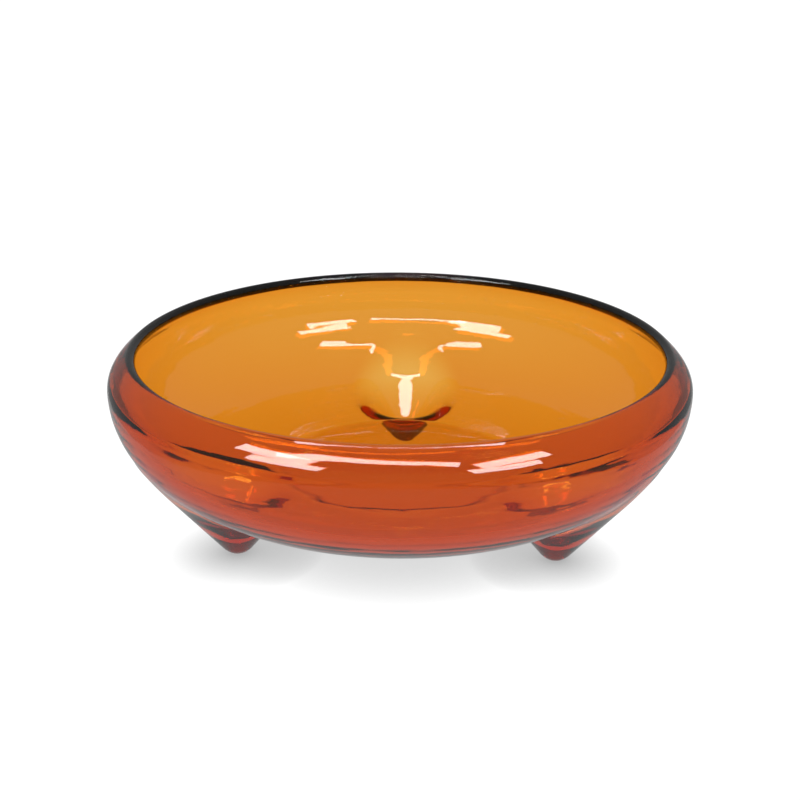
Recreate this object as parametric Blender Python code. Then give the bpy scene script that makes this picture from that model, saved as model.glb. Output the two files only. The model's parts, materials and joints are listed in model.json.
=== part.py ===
"""A low glass bowl with a rolled-in rim, standing on three conical feet that are hollow from inside.

Metres, +Z up. The origin is on the bowl's axis, on the plane that the feet stand on.
"""

import math

import bpy
from mathutils import Vector

# Overall size of the bowl
SHOULDER_RADIUS = 0.0950
SHOULDER_HEIGHT = 0.0527
LIP_RADIUS = 0.0875
LIP_HEIGHT = 0.0612
UNDERSIDE_RADIUS = 0.0430
UNDERSIDE_HEIGHT = 0.0140

# Thickness of the glass
FLOOR_THICKNESS = 0.0046
WALL_THICKNESS = 0.0042
LIP_THICKNESS = 0.0037

# The slightly raised disc in the middle of the floor
DISC_RADIUS = 0.0408
DISC_EDGE = 0.0014
DISC_RISE = 0.0011

# How the wall swells from the flat underside to the shoulder, and turns in above it
LOWER_WALL_REACH = 0.0300
LOWER_WALL_RISE = 0.0028
UPPER_WALL_DROP = 0.0225
TURN_IN_RISE = 0.0043
TURN_IN_REACH = 0.0040
LIP_FACING = math.radians(50)

# Feet
FOOT_CIRCLE_RADIUS = 0.0593
FOOT_ANGLES = {"foot_back": 88, "foot_front_left": 208, "foot_front_right": 328}
FOOT_HALF_ANGLE = math.radians(39)
FOOT_TIP_RADIUS = 0.0050
FOOT_TIP_HEIGHT = 0.0023
FOOT_PAD_RADIUS = 0.0018
FOOT_ROOT_HEIGHT = 0.0360
FOOT_GAP = 0.0003

# The hollow inside each foot, which opens into the bowl
HOLLOW_HALF_ANGLE = math.radians(42)
HOLLOW_POINT_HEIGHT = 0.0052
HOLLOW_TIP_RADIUS = 0.0040
HOLLOW_TIP_HEIGHT = 0.0078
HOLLOW_FLARE_START = 0.0140
HOLLOW_FLARE = 45.0
HOLLOW_REACH = 0.0270
HOLLOW_TOP = 0.0450

# Fineness of the round shapes
BOWL_SEGMENTS = 72
FOOT_SEGMENTS = 36
LOWER_WALL_STEPS = 11
TURN_IN_STEPS = 6
LIP_STEPS = 6
TIP_STEPS = 5
HOLLOW_STEPS = 12


def clear_scene():
    for obj in list(bpy.data.objects):
        bpy.data.objects.remove(obj, do_unlink=True)


def glass_material(name, colour):
    material = bpy.data.materials.new(name)
    material.use_nodes = True
    shader = material.node_tree.nodes["Principled BSDF"]
    shader.inputs["Base Color"].default_value = (*colour, 1.0)
    shader.inputs["Roughness"].default_value = 0.03
    shader.inputs["Metallic"].default_value = 0.0
    shader.inputs["IOR"].default_value = 1.5
    shader.inputs["Transmission Weight"].default_value = 1.0
    material.diffuse_color = (*colour, 1.0)
    return material


def bezier(start, start_handle, end_handle, end, steps):
    """Points along a cubic curve, without its first point."""
    points = []
    for step in range(1, steps + 1):
        t = step / steps
        s = 1 - t
        points.append(
            start * s**3
            + start_handle * 3 * s**2 * t
            + end_handle * 3 * s * t**2
            + end * t**3
        )
    return points


def outer_profile():
    """(radius, height) points up the outside of the bowl, from the underside's edge to the lip."""
    corner = Vector((UNDERSIDE_RADIUS, UNDERSIDE_HEIGHT))
    shoulder = Vector((SHOULDER_RADIUS, SHOULDER_HEIGHT))
    facing = Vector((math.cos(LIP_FACING), math.sin(LIP_FACING)))
    lip = Vector((LIP_RADIUS, LIP_HEIGHT)) + facing * LIP_THICKNESS / 2
    along_lip = Vector((-facing.y, facing.x))
    lower_wall = bezier(
        corner,
        corner + Vector((LOWER_WALL_REACH, LOWER_WALL_RISE)),
        shoulder - Vector((0, UPPER_WALL_DROP)),
        shoulder,
        LOWER_WALL_STEPS,
    )
    turn_in = bezier(
        shoulder,
        shoulder + Vector((0, TURN_IN_RISE)),
        lip - along_lip * TURN_IN_REACH,
        lip,
        TURN_IN_STEPS,
    )
    return [corner] + lower_wall + turn_in


def outward_normals(points):
    """The direction away from the glass at each profile point, square to the line through its neighbours."""
    normals = []
    last = len(points) - 1
    for index in range(len(points)):
        along = points[min(index + 1, last)] - points[max(index - 1, 0)]
        normals.append(Vector((along.y, -along.x)).normalized())
    normals[0] = Vector((0, -1))
    normals[-1] = Vector((math.cos(LIP_FACING), math.sin(LIP_FACING)))
    return normals


def thickness_at(height):
    """The glass thins from the floor to the wall, and again from the shoulder to the lip."""
    if height < SHOULDER_HEIGHT:
        share = (height - UNDERSIDE_HEIGHT) / (SHOULDER_HEIGHT - UNDERSIDE_HEIGHT)
        return FLOOR_THICKNESS + (WALL_THICKNESS - FLOOR_THICKNESS) * share
    top = LIP_HEIGHT + LIP_THICKNESS / 2 * math.sin(LIP_FACING)
    share = (height - SHOULDER_HEIGHT) / (top - SHOULDER_HEIGHT)
    return WALL_THICKNESS + (LIP_THICKNESS - WALL_THICKNESS) * share


def inner_profile():
    """The outer profile moved in by the thickness of the glass."""
    outside = outer_profile()
    normals = outward_normals(outside)
    return [
        point - normal * thickness_at(point.y)
        for point, normal in zip(outside, normals)
    ]


def lip_arc():
    """The round edge of the rim, from its outside over the top to its inside."""
    centre = Vector((LIP_RADIUS, LIP_HEIGHT))
    points = []
    for step in range(1, LIP_STEPS):
        angle = LIP_FACING + math.pi * step / LIP_STEPS
        points.append(centre + Vector((math.cos(angle), math.sin(angle))) * LIP_THICKNESS / 2)
    return points


def turned_solid(name, profile, segments):
    """A Screw turns the profile, which runs from the axis at the top down its outer side to the axis."""
    mesh = bpy.data.meshes.new(name)
    points = [(point.x, 0, point.y) for point in profile]
    edges = [(index, index + 1) for index in range(len(points) - 1)]
    mesh.from_pydata(points, edges, [])
    obj = bpy.data.objects.new(name, mesh)
    bpy.context.collection.objects.link(obj)
    screw = obj.modifiers.new("turn", "SCREW")
    screw.axis = "Z"
    screw.steps = segments
    screw.render_steps = segments
    screw.use_merge_vertices = True
    screw.merge_threshold = 0.00001
    screw.use_smooth_shade = True
    return obj


def raised_disc(floor_height):
    """The disc's top and its sloping edge, from the axis out."""
    return [
        Vector((0, floor_height + DISC_RISE)),
        Vector((DISC_RADIUS, floor_height + DISC_RISE)),
        Vector((DISC_RADIUS + DISC_EDGE, floor_height)),
    ]


def make_bowl():
    inside = inner_profile()
    outside = outer_profile()
    profile = raised_disc(inside[0].y) + inside
    profile += reversed(lip_arc())
    profile += reversed(outside)
    profile.append(Vector((0, UNDERSIDE_HEIGHT)))
    bowl = turned_solid("bowl", profile, BOWL_SEGMENTS)
    bowl.data.materials.append(glass_material("bowl_glass", (0.80, 0.25, 0.04)))
    return bowl


def hide_cutter(cutter):
    cutter.hide_render = True
    cutter.display_type = "WIRE"


def place_at_foot(obj, angle):
    turn = math.radians(angle)
    obj.location = Vector((math.cos(turn), math.sin(turn), 0)) * FOOT_CIRCLE_RADIUS
    obj.rotation_euler.z = turn


def subtract(obj, cutter):
    cut = obj.modifiers.new("without_" + cutter.name, "BOOLEAN")
    cut.operation = "DIFFERENCE"
    cut.solver = "EXACT"
    cut.object = cutter


def hollow_profile():
    """A cone, point down, that turns up towards the bowl's wall and is closed above the wall's slope."""
    slope = 1 / math.tan(HOLLOW_HALF_ANGLE)
    side = []
    for step in range(HOLLOW_STEPS + 1):
        radius = HOLLOW_TIP_RADIUS + (HOLLOW_REACH - HOLLOW_TIP_RADIUS) * step / HOLLOW_STEPS
        turned_up = HOLLOW_FLARE * max(radius - HOLLOW_FLARE_START, 0) ** 2
        side.append(Vector((radius, HOLLOW_POINT_HEIGHT + radius * slope + turned_up)))
    tip = Vector((0, HOLLOW_TIP_HEIGHT))
    rounding = bezier(
        tip,
        tip + Vector((HOLLOW_TIP_RADIUS / 2, 0)),
        side[0] - Vector((1, slope)) * HOLLOW_TIP_RADIUS / 4,
        side[0],
        TIP_STEPS,
    )
    profile = [Vector((0, HOLLOW_TOP)), Vector((HOLLOW_REACH, HOLLOW_TOP))]
    profile += reversed(side)
    profile += reversed(rounding[:-1])
    profile.append(tip)
    return profile


def make_hollow_cutter(name, angle):
    cutter = turned_solid(name + "_hollow", hollow_profile(), FOOT_SEGMENTS)
    place_at_foot(cutter, angle)
    hide_cutter(cutter)
    return cutter


def make_foot_cutter():
    """The bowl's outside grown by the gap and filled in, which leaves only the foot under it."""
    outside = outer_profile()
    grown = [
        point + normal * FOOT_GAP
        for point, normal in zip(outside, outward_normals(outside))
    ]
    profile = [Vector((0, grown[-1].y))]
    profile += reversed(grown)
    profile.append(Vector((0, UNDERSIDE_HEIGHT - FOOT_GAP)))
    cutter = turned_solid("foot_cutter", profile, BOWL_SEGMENTS)
    hide_cutter(cutter)
    return cutter


def foot_profile():
    """A cone, point down, whose rounded tip ends in a small flat pad at height 0."""
    spread = math.tan(FOOT_HALF_ANGLE)
    root_radius = FOOT_TIP_RADIUS + (FOOT_ROOT_HEIGHT - FOOT_TIP_HEIGHT) * spread
    pad_edge = Vector((FOOT_PAD_RADIUS, 0))
    cone_start = Vector((FOOT_TIP_RADIUS, FOOT_TIP_HEIGHT))
    rounding = bezier(
        pad_edge,
        pad_edge + Vector((FOOT_TIP_HEIGHT / 2, 0)),
        cone_start - Vector((spread, 1)) * FOOT_TIP_HEIGHT / 2,
        cone_start,
        TIP_STEPS,
    )
    profile = [Vector((0, FOOT_ROOT_HEIGHT)), Vector((root_radius, FOOT_ROOT_HEIGHT))]
    profile += reversed(rounding)
    profile += [pad_edge, Vector((0, 0))]
    return profile


def make_feet(bowl, under_bowl):
    """Each foot is cut away under the bowl, and its hollow is cut from both the foot and the bowl."""
    for name, angle in FOOT_ANGLES.items():
        foot = turned_solid(name, foot_profile(), FOOT_SEGMENTS)
        place_at_foot(foot, angle)
        hollow = make_hollow_cutter(name, angle)
        subtract(foot, under_bowl)
        subtract(foot, hollow)
        subtract(bowl, hollow)
        foot.data.materials.append(glass_material(name + "_glass", (0.72, 0.16, 0.03)))


def main():
    clear_scene()
    make_feet(make_bowl(), make_foot_cutter())


main()
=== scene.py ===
import json
import math

import bpy
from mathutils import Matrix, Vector, noise


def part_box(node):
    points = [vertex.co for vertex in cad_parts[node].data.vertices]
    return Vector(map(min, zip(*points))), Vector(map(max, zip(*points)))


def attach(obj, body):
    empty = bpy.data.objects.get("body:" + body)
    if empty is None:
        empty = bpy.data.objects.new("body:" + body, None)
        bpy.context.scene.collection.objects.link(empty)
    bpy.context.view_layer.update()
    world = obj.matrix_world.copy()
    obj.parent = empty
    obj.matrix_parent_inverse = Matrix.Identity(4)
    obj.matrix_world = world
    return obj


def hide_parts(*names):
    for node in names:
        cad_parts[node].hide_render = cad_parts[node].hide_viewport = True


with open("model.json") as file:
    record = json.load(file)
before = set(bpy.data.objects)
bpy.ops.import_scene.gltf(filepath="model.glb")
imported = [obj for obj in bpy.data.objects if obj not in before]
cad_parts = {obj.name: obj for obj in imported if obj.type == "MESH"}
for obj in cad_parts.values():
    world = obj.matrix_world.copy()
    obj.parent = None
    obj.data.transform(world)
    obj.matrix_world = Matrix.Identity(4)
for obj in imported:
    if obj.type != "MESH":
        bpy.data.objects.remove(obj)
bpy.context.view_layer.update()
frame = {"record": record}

mm = 0.001


def deselectAll():
    if bpy.context.object and bpy.context.object.mode == "EDIT":
        bpy.ops.object.mode_set(mode="OBJECT")
    bpy.ops.object.select_all(action="DESELECT")


def smoothStep(low, high, value):
    share = min(max((value - low) / (high - low), 0), 1)
    return share * share * (3 - 2 * share)


def smoothMin(first, second, blend):
    share = min(max(0.5 + 0.5 * (second - first) / blend, 0), 1)
    return second + (first - second) * share - blend * share * (1 - share)


def smoothMax(first, second, blend):
    return -smoothMin(-first, -second, blend)


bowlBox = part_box("bowl")
bowl = {  # its section is drawn as (radius, height), from the middle of the underside round to the floor
    "shoulderRadius": bowlBox[1].x,
    "shoulderHeight": 52.7 * mm,
    "top": bowlBox[1].z,
    "lipRadius": 87.5 * mm,  # middle of the round edge
    "lipThickness": 3.7 * mm,
    "lipFacing": math.radians(50),
    "undersideRadius": 43 * mm,
    "undersideHeight": bowlBox[0].z,
    "floorThickness": 4.6 * mm,
    "wallThickness": 4.2 * mm,
    "lowerWallReach": 30 * mm,  # handles of the wall's two curves
    "lowerWallRise": 2.8 * mm,
    "upperWallDrop": 22.5 * mm,
    "turnInRise": 4.3 * mm,
    "turnInReach": 4 * mm,
    "discRadius": 41.5 * mm,  # a slightly raised disc in the floor
    "discRise": 0.45 * mm,
    "discSlope": 3 * mm,
    "discSteps": 14,
    "centreRadius": 2 * mm,  # innermost ring, closed by one face
    "flatSteps": 16,
    "lowerWallSteps": 52,
    "turnInSteps": 14,
    "lipSteps": 14,
    "turns": 240,
    "ringDepth": 0.02 * mm,  # faint rings left by the plunger inside the bowl
    "ringSpacing": 4.1 * mm,
    "ringFadeIn": 6 * mm,  # from the floor, measured along the wall
    "ringFadeOut": 8 * mm,  # below the lip
    "mergeDistance": 0.01 * mm,
    "waviness": 0.03 * mm,  # fire-polished glass is never quite true
    "wavinessSize": 17 * mm,
    "stillHeight": 5 * mm,  # the feet's tips aren't waved
    "inwardOnly": 3 * mm,  # this near its greatest width and height, the bowl is only waved inwards
}


def curve(start, startHandle, endHandle, end, steps):
    points = []
    for step in range(1, steps + 1):
        t = step / steps
        s = 1 - t
        points.append(start * s**3 + startHandle * 3 * s * s * t + endHandle * 3 * s * t * t + end * t**3)
    return points


def lipCentre():
    return Vector((bowl["lipRadius"], bowl["top"] - bowl["lipThickness"] / 2))


def outsideOfWall():
    corner = Vector((bowl["undersideRadius"], bowl["undersideHeight"]))
    shoulder = Vector((bowl["shoulderRadius"], bowl["shoulderHeight"]))
    facing = Vector((math.cos(bowl["lipFacing"]), math.sin(bowl["lipFacing"])))
    lip = lipCentre() + facing * bowl["lipThickness"] / 2
    alongLip = Vector((-facing.y, facing.x))
    lower = curve(
        corner,
        corner + Vector((bowl["lowerWallReach"], bowl["lowerWallRise"])),
        shoulder - Vector((0, bowl["upperWallDrop"])),
        shoulder,
        bowl["lowerWallSteps"],
    )
    upper = curve(
        shoulder,
        shoulder + Vector((0, bowl["turnInRise"])),
        lip - alongLip * bowl["turnInReach"],
        lip,
        bowl["turnInSteps"],
    )
    return [corner] + lower + upper


def thicknessAt(height):
    if height < bowl["shoulderHeight"]:
        share = (height - bowl["undersideHeight"]) / (bowl["shoulderHeight"] - bowl["undersideHeight"])
        return bowl["floorThickness"] + (bowl["wallThickness"] - bowl["floorThickness"]) * share
    share = (height - bowl["shoulderHeight"]) / (bowl["top"] - bowl["shoulderHeight"])
    return bowl["wallThickness"] + (bowl["lipThickness"] - bowl["wallThickness"]) * share


def outwardNormals(points):
    normals = []
    last = len(points) - 1
    for index in range(len(points)):
        along = points[min(index + 1, last)] - points[max(index - 1, 0)]
        normals.append(Vector((along.y, -along.x)).normalized())
    normals[0] = Vector((0, -1))
    normals[-1] = Vector((math.cos(bowl["lipFacing"]), math.sin(bowl["lipFacing"])))
    return normals


def insideOfWall(outside):
    points = []
    travelled = 0
    previous = outside[0]
    for point, normal in zip(outside, outwardNormals(outside)):
        travelled += (point - previous).length
        previous = point
        ring = bowl["ringDepth"] * math.sin(travelled / bowl["ringSpacing"] * 2 * math.pi)
        ring *= smoothStep(0, bowl["ringFadeIn"], travelled)
        ring *= smoothStep(0, bowl["ringFadeOut"], bowl["top"] - point.y)
        points.append(point - normal * (thicknessAt(point.y) + ring))
    return points


def roundLip():
    points = []
    for step in range(1, bowl["lipSteps"]):
        angle = bowl["lipFacing"] + math.pi * step / bowl["lipSteps"]
        points.append(lipCentre() + Vector((math.cos(angle), math.sin(angle))) * bowl["lipThickness"] / 2)
    return points


def flatPart(start, end, steps):
    return [start + (end - start) * step / steps for step in range(steps)]


def bowlSection():
    outside = outsideOfWall()
    inside = insideOfWall(outside)
    underCentre = Vector((bowl["centreRadius"], outside[0].y))
    floorCentre = Vector((bowl["centreRadius"], inside[0].y))
    discEdge = Vector((bowl["discRadius"] - bowl["discSlope"], inside[0].y))
    underside = flatPart(underCentre, outside[0], bowl["flatSteps"])
    floor = flatPart(floorCentre, discEdge, bowl["flatSteps"])
    floor += flatPart(discEdge, inside[0], bowl["discSteps"])
    for point in floor + inside:  # raises the disc
        share = smoothStep(-bowl["discSlope"] / 2, bowl["discSlope"] / 2, bowl["discRadius"] - point.x)
        point.y += bowl["discRise"] * share
    return underside + outside + roundLip() + inside[::-1] + floor[::-1]


def spinSection(name, section, turns):
    deselectAll()
    bpy.ops.mesh.primitive_plane_add(size=mm)
    piece = bpy.context.object
    piece.name = name
    piece.data.name = name
    bpy.ops.object.mode_set(mode="EDIT")
    bpy.ops.mesh.select_all(action="SELECT")
    bpy.ops.mesh.merge(type="CENTER")
    bpy.ops.transform.translate(value=(section[0].x, 0, section[0].y))
    for before, after in zip(section, section[1:]):
        move = (after.x - before.x, 0, after.y - before.y)
        bpy.ops.mesh.extrude_region_move(TRANSFORM_OT_translate={"value": move})
    bpy.ops.mesh.select_all(action="SELECT")
    bpy.ops.mesh.spin(steps=turns, angle=2 * math.pi, center=(0, 0, 0), axis=(0, 0, 1))
    bpy.ops.mesh.select_all(action="SELECT")
    bpy.ops.mesh.remove_doubles(threshold=bowl["mergeDistance"])
    bpy.ops.mesh.select_all(action="DESELECT")
    bpy.ops.mesh.select_non_manifold(extend=False)
    bpy.ops.mesh.edge_face_add()  # closes the two small holes on the axis
    bpy.ops.mesh.select_all(action="SELECT")
    bpy.ops.mesh.normals_make_consistent(inside=False)
    bpy.ops.object.mode_set(mode="OBJECT")
    return piece


section = bowlSection()
amberBowl = spinSection("amberBowl", section, bowl["turns"])
print("bowl turned", len(amberBowl.data.vertices), len(amberBowl.data.polygons))


feet = {  # drawn down out of the underside, and hollowed from inside
    "centres": [Vector(mount["pos_m"][:2]) for mount in frame["record"]["mounts"]],
    "outside": {
        "halfAngle": math.radians(39),
        "startHeight": -3.88 * mm,  # where the straight side would meet the foot's axis
        "bottom": 0,
        "tipBlend": 3 * mm,  # rounds the tip into its small flat pad
        "rootBlend": 4.5 * mm,  # fillet where a foot meets the bowl
        "flareStart": 21 * mm,  # past this the cone turns up, to die out against the wall
        "flare": 0.035 / mm,
    },
    "hollow": {
        "halfAngle": math.radians(45),
        "startHeight": 5.6 * mm,
        "bottom": 7.6 * mm,
        "tipBlend": 4 * mm,
        "rootBlend": 5 * mm,
        "flareStart": 17.5 * mm,
        "flare": 0.08 / mm,
    },
    "reach": 31 * mm,  # the bowl's faces are made finer this near a foot's middle
    "tipReach": 13 * mm,  # and finer again this near
    "highest": 44 * mm,
    "leastFacing": 0.05,  # keeps upright faces out
}


def footDistance(point):
    flat = Vector((point.x, point.y))
    return min((flat - centre).length for centre in feet["centres"])


def coneHeight(distance, cone):
    straight = cone["startHeight"] + distance / math.tan(cone["halfAngle"])
    turnedUp = cone["flare"] * max(distance - cone["flareStart"], 0) ** 2
    return smoothMax(cone["bottom"], straight + turnedUp, cone["tipBlend"])


def selectNearFeet(piece, facing, reach):  # facing: -1 for the bowl's outside, 1 for its inside
    deselectAll()
    bpy.context.view_layer.objects.active = piece
    piece.select_set(True)
    bpy.ops.object.mode_set(mode="EDIT")
    bpy.ops.mesh.select_mode(type="FACE")
    bpy.ops.mesh.select_all(action="DESELECT")
    bpy.ops.object.mode_set(mode="OBJECT")
    for face in piece.data.polygons:
        faces = face.normal.z * facing > feet["leastFacing"]
        face.select = faces and face.center.z < feet["highest"] and footDistance(face.center) < reach


def drawCones(piece, facing, cone):
    for reach in (feet["reach"], feet["tipReach"]):
        selectNearFeet(piece, facing, reach)
        bpy.ops.object.mode_set(mode="EDIT")
        bpy.ops.mesh.subdivide(number_cuts=1)
        bpy.ops.object.mode_set(mode="OBJECT")
    selectNearFeet(piece, facing, feet["reach"])
    chosen = {index for face in piece.data.polygons if face.select for index in face.vertices}
    for index in chosen:
        spot = piece.data.vertices[index]
        spot.co.z = smoothMin(spot.co.z, coneHeight(footDistance(spot.co), cone), cone["rootBlend"])
    piece.data.update()


drawCones(amberBowl, 1, feet["hollow"])
drawCones(amberBowl, -1, feet["outside"])
print("feet drawn", len(amberBowl.data.polygons))


def waveSurface(piece):
    normals = [spot.normal.copy() for spot in piece.data.vertices]
    for spot, normal in zip(piece.data.vertices, normals):
        wave = noise.noise(spot.co / bowl["wavinessSize"]) * bowl["waviness"]
        nearSide = bowl["shoulderRadius"] - Vector(spot.co.xy).length < bowl["inwardOnly"]
        nearTop = bowl["top"] - spot.co.z < bowl["inwardOnly"]
        if nearSide or nearTop:
            wave = -abs(wave)
        spot.co += normal * wave * smoothStep(0, bowl["stillHeight"], spot.co.z)
    piece.data.update()


waveSurface(amberBowl)
for face in amberBowl.data.polygons:
    face.use_smooth = True
print("surface waved")


glass = {
    "ior": 1.5,
    "absorbedColour": (0.9375, 0.6875, 0.0375),
    "density": 830,  # per metre
    "roughness": (0.01, 0.035),  # of the clearest and the dullest patches
    "patchSize": 14 * mm,
    "patchRange": (0.35, 0.7),
    "patchDetail": 3,
    "wornRoughness": 0.25,  # the feet's pads, scuffed by tables
    "wornHeight": (0.1 * mm, 0.9 * mm),
    "rippleSize": 8 * mm,
    "rippleFlatness": 3,  # ripples lie along the wall
    "rippleDepth": 0.035 * mm,
    "rippleDetail": 1,
    "pitSize": 0.6 * mm,
    "pitDepth": 0.001 * mm,
    "pitDetail": 2,
}


def noiseOn(tree, place, size, detail):
    pattern = tree.nodes.new("ShaderNodeTexNoise")
    pattern.inputs["Scale"].default_value = 1 / size
    pattern.inputs["Detail"].default_value = detail
    tree.links.new(place, pattern.inputs["Vector"])
    return pattern.outputs["Fac"]


def rangeOf(tree, value, fromLow, fromHigh, toLow, toHigh):  # also shades the floor
    mapped = tree.nodes.new("ShaderNodeMapRange")
    mapped.interpolation_type = "SMOOTHSTEP"
    mapped.inputs["From Min"].default_value = fromLow
    mapped.inputs["From Max"].default_value = fromHigh
    mapped.inputs["To Min"].default_value = toLow
    mapped.inputs["To Max"].default_value = toHigh
    tree.links.new(value, mapped.inputs["Value"])
    return mapped.outputs["Result"]


def glassRoughness(tree, place):
    patches = noiseOn(tree, place, glass["patchSize"], glass["patchDetail"])
    patches = rangeOf(tree, patches, *glass["patchRange"], *glass["roughness"])
    height = tree.nodes.new("ShaderNodeSeparateXYZ")
    tree.links.new(place, height.inputs["Vector"])
    worn = rangeOf(tree, height.outputs["Z"], *glass["wornHeight"], glass["wornRoughness"], 0)
    duller = tree.nodes.new("ShaderNodeMath")
    duller.operation = "MAXIMUM"
    tree.links.new(patches, duller.inputs[0])
    tree.links.new(worn, duller.inputs[1])
    return duller.outputs["Value"]


def bumpFrom(tree, pattern, depth):
    bump = tree.nodes.new("ShaderNodeBump")
    bump.inputs["Strength"].default_value = 1
    bump.inputs["Distance"].default_value = depth
    tree.links.new(pattern, bump.inputs["Height"])
    return bump


def glassRipples(tree, place):
    flatter = tree.nodes.new("ShaderNodeMapping")
    flatter.inputs["Scale"].default_value = (1, 1, glass["rippleFlatness"])
    tree.links.new(place, flatter.inputs["Vector"])
    ripples = noiseOn(tree, flatter.outputs["Vector"], glass["rippleSize"], glass["rippleDetail"])
    ripples = bumpFrom(tree, ripples, glass["rippleDepth"])
    pits = noiseOn(tree, place, glass["pitSize"], glass["pitDetail"])
    pits = bumpFrom(tree, pits, glass["pitDepth"])
    tree.links.new(ripples.outputs["Normal"], pits.inputs["Normal"])
    return pits.outputs["Normal"]


def amberGlass():
    material = bpy.data.materials.new("amberGlass")
    material.use_nodes = True
    tree = material.node_tree
    tree.nodes.clear()
    output = tree.nodes.new("ShaderNodeOutputMaterial")
    shader = tree.nodes.new("ShaderNodeBsdfPrincipled")
    shader.inputs["Base Color"].default_value = (1, 1, 1, 1)
    shader.inputs["IOR"].default_value = glass["ior"]
    shader.inputs["Transmission Weight"].default_value = 1
    place = tree.nodes.new("ShaderNodeTexCoord").outputs["Object"]
    tree.links.new(glassRoughness(tree, place), shader.inputs["Roughness"])
    tree.links.new(glassRipples(tree, place), shader.inputs["Normal"])
    absorption = tree.nodes.new("ShaderNodeVolumeAbsorption")
    absorption.inputs["Color"].default_value = (*glass["absorbedColour"], 1)
    absorption.inputs["Density"].default_value = glass["density"]
    tree.links.new(shader.outputs["BSDF"], output.inputs["Surface"])
    tree.links.new(absorption.outputs["Volume"], output.inputs["Volume"])
    return material


amberBowl.data.materials.clear()
amberBowl.data.materials.append(amberGlass())
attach(amberBowl, "root")
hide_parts("bowl", "foot_back", "foot_front_left", "foot_front_right")
print("amber glass given")


studio = {
    "floorCorners": 96,
    "floorHalfWidth": 210 * mm,  # narrow, so that the bowl's sides see a darker room
    "floorFront": 350 * mm,
    "floorBack": 1400 * mm,
    "floorBrightness": 1.0,  # as seen through the glass
    # painted shade: the floor glows at half strength where the glass reflects it, standing in for the
    # floor's shade near the bowl
    "floorPaintedShadeInReflections": 0.5,
    "shadowReach": 19 * mm,  # the floor darkens this near the bowl
    "shadowRange": (0.2, 1),
    "shadowLevels": (0.45, 1.1),
    "shadowSamples": 24,
    "lights": {  # name: place, width and height in mm, radiance
        "softboxLeftUpper": ((-222, -190, 305), 170, 66, 13),
        "softboxLeftLower": ((-222, -256, 255), 170, 66, 13),
        "softboxRightUpper": ((222, -230, 314), 170, 66, 13),
        "softboxRightLower": ((222, -292, 259), 170, 66, 13),
        "nearStrip": ((-25, -134, 150), 150, 18, 13),
        "overheadStrip": ((0, -108, 485), 430, 48, 13),
    },
    "lightsFace": Vector((0, 0, 45 * mm)),
    "roomBrightness": 0.3,
    "domeBrightness": 1.1,  # behind the bowl
    "bounces": 24,
    "glossyBounces": 16,
}
camera = {
    "elevation": math.radians(20.8),
    "distance": 418.4 * mm,
    "aim": Vector((0, 0, 42.5 * mm)),
    "lens": 56.25,
    "sensorWidth": 36,
    "roll": math.radians(0.35),
}


def layFloor():
    deselectAll()
    corners = studio["floorCorners"]
    bpy.ops.mesh.primitive_circle_add(vertices=corners, radius=studio["floorHalfWidth"], fill_type="NGON")
    floor = bpy.context.object
    halfLength = (studio["floorFront"] + studio["floorBack"]) / 2
    bpy.ops.object.mode_set(mode="EDIT")
    bpy.ops.transform.resize(value=(1, halfLength / studio["floorHalfWidth"], 1))
    bpy.ops.transform.translate(value=(0, halfLength - studio["floorFront"], 0))
    bpy.ops.object.mode_set(mode="OBJECT")
    floor.name = "paleFloor"
    material = bpy.data.materials.new("paleFloor")
    material.use_nodes = True
    tree = material.node_tree
    tree.nodes.clear()
    output = tree.nodes.new("ShaderNodeOutputMaterial")
    # the floor glows rather than taking light: evenly bright, with a painted shadow from ambient
    # occlusion where the camera sees it, and a painted shade at half strength where the glass reflects it
    glow = tree.nodes.new("ShaderNodeEmission")
    nearness = tree.nodes.new("ShaderNodeAmbientOcclusion")
    nearness.inputs["Distance"].default_value = studio["shadowReach"]
    nearness.samples = studio["shadowSamples"]
    shade = rangeOf(tree, nearness.outputs["AO"], *studio["shadowRange"], *studio["shadowLevels"])
    path = tree.nodes.new("ShaderNodeLightPath")
    offCameraGlowWithPaintedShade = tree.nodes.new("ShaderNodeMix")
    offCameraGlowWithPaintedShade.inputs["A"].default_value = studio["floorBrightness"]
    offCameraGlowWithPaintedShade.inputs["B"].default_value = studio["floorPaintedShadeInReflections"]
    seen = tree.nodes.new("ShaderNodeMix")
    tree.links.new(path.outputs["Is Reflection Ray"], offCameraGlowWithPaintedShade.inputs["Factor"])
    tree.links.new(path.outputs["Is Camera Ray"], seen.inputs["Factor"])
    tree.links.new(offCameraGlowWithPaintedShade.outputs["Result"], seen.inputs["A"])
    tree.links.new(shade, seen.inputs["B"])
    tree.links.new(seen.outputs["Result"], glow.inputs["Strength"])
    tree.links.new(glow.outputs["Emission"], output.inputs["Surface"])
    floor.data.materials.append(material)


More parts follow.
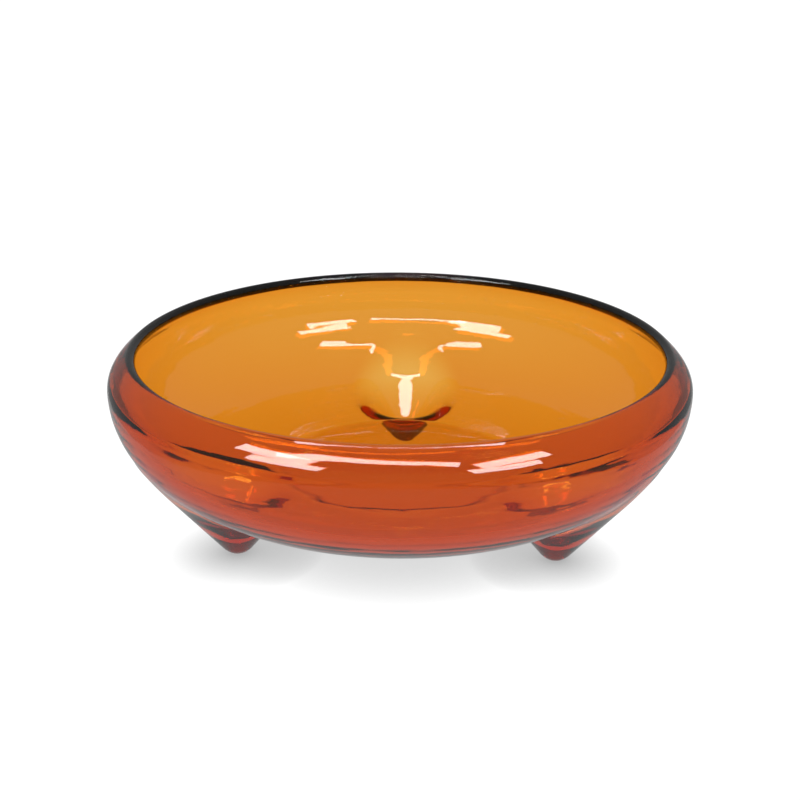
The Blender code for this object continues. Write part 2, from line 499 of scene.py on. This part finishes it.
def hangLight(name, place, width, height, radiance):
    deselectAll()
    bpy.ops.object.light_add(type="AREA", location=Vector(place) * mm)
    lamp = bpy.context.object
    lamp.name = name
    lamp.data.shape = "RECTANGLE"
    lamp.data.size = width * mm
    lamp.data.size_y = height * mm
    lamp.data.energy = radiance * math.pi * lamp.data.size * lamp.data.size_y
    lamp.rotation_mode = "QUATERNION"
    lamp.rotation_quaternion = (lamp.location - studio["lightsFace"]).to_track_quat("Z", "Y")
    lamp.visible_diffuse = False  # the floor takes its even light from the room
    lamp.visible_camera = False


def lightRoom():
    world = bpy.data.worlds.new("paleRoom")
    world.use_nodes = True
    tree = world.node_tree
    backdrop = tree.nodes["Background"]
    backdrop.inputs["Color"].default_value = (1, 1, 1, 1)
    path = tree.nodes.new("ShaderNodeLightPath")
    either = tree.nodes.new("ShaderNodeMath")
    either.operation = "MAXIMUM"
    level = tree.nodes.new("ShaderNodeMapRange")
    level.inputs["To Min"].default_value = studio["roomBrightness"]
    level.inputs["To Max"].default_value = studio["domeBrightness"]
    tree.links.new(path.outputs["Is Camera Ray"], either.inputs[0])
    tree.links.new(path.outputs["Is Diffuse Ray"], either.inputs[1])
    tree.links.new(either.outputs["Value"], level.inputs["Value"])
    tree.links.new(level.outputs["Result"], backdrop.inputs["Strength"])
    world.cycles.sampling_method = "NONE"
    bpy.context.scene.world = world


def placeCamera():
    deselectAll()
    rise = camera["elevation"]
    away = Vector((0, -math.cos(rise), math.sin(rise)))
    bpy.ops.object.camera_add(location=camera["aim"] + away * camera["distance"])
    view = bpy.context.object
    view.name = "photographer"
    view.data.lens = camera["lens"]
    view.data.sensor_width = camera["sensorWidth"]
    view.rotation_euler = away.to_track_quat("Z", "Y").to_euler()
    view.rotation_euler.rotate_axis("Z", camera["roll"])
    bpy.context.scene.camera = view


layFloor()
for name, place in studio["lights"].items():
    hangLight(name, *place)
lightRoom()
placeCamera()
bpy.context.scene.view_settings.view_transform = "Standard"
bpy.context.scene.cycles.max_bounces = studio["bounces"]
bpy.context.scene.cycles.transmission_bounces = studio["bounces"]
bpy.context.scene.cycles.glossy_bounces = studio["glossyBounces"]
print("studio ready")
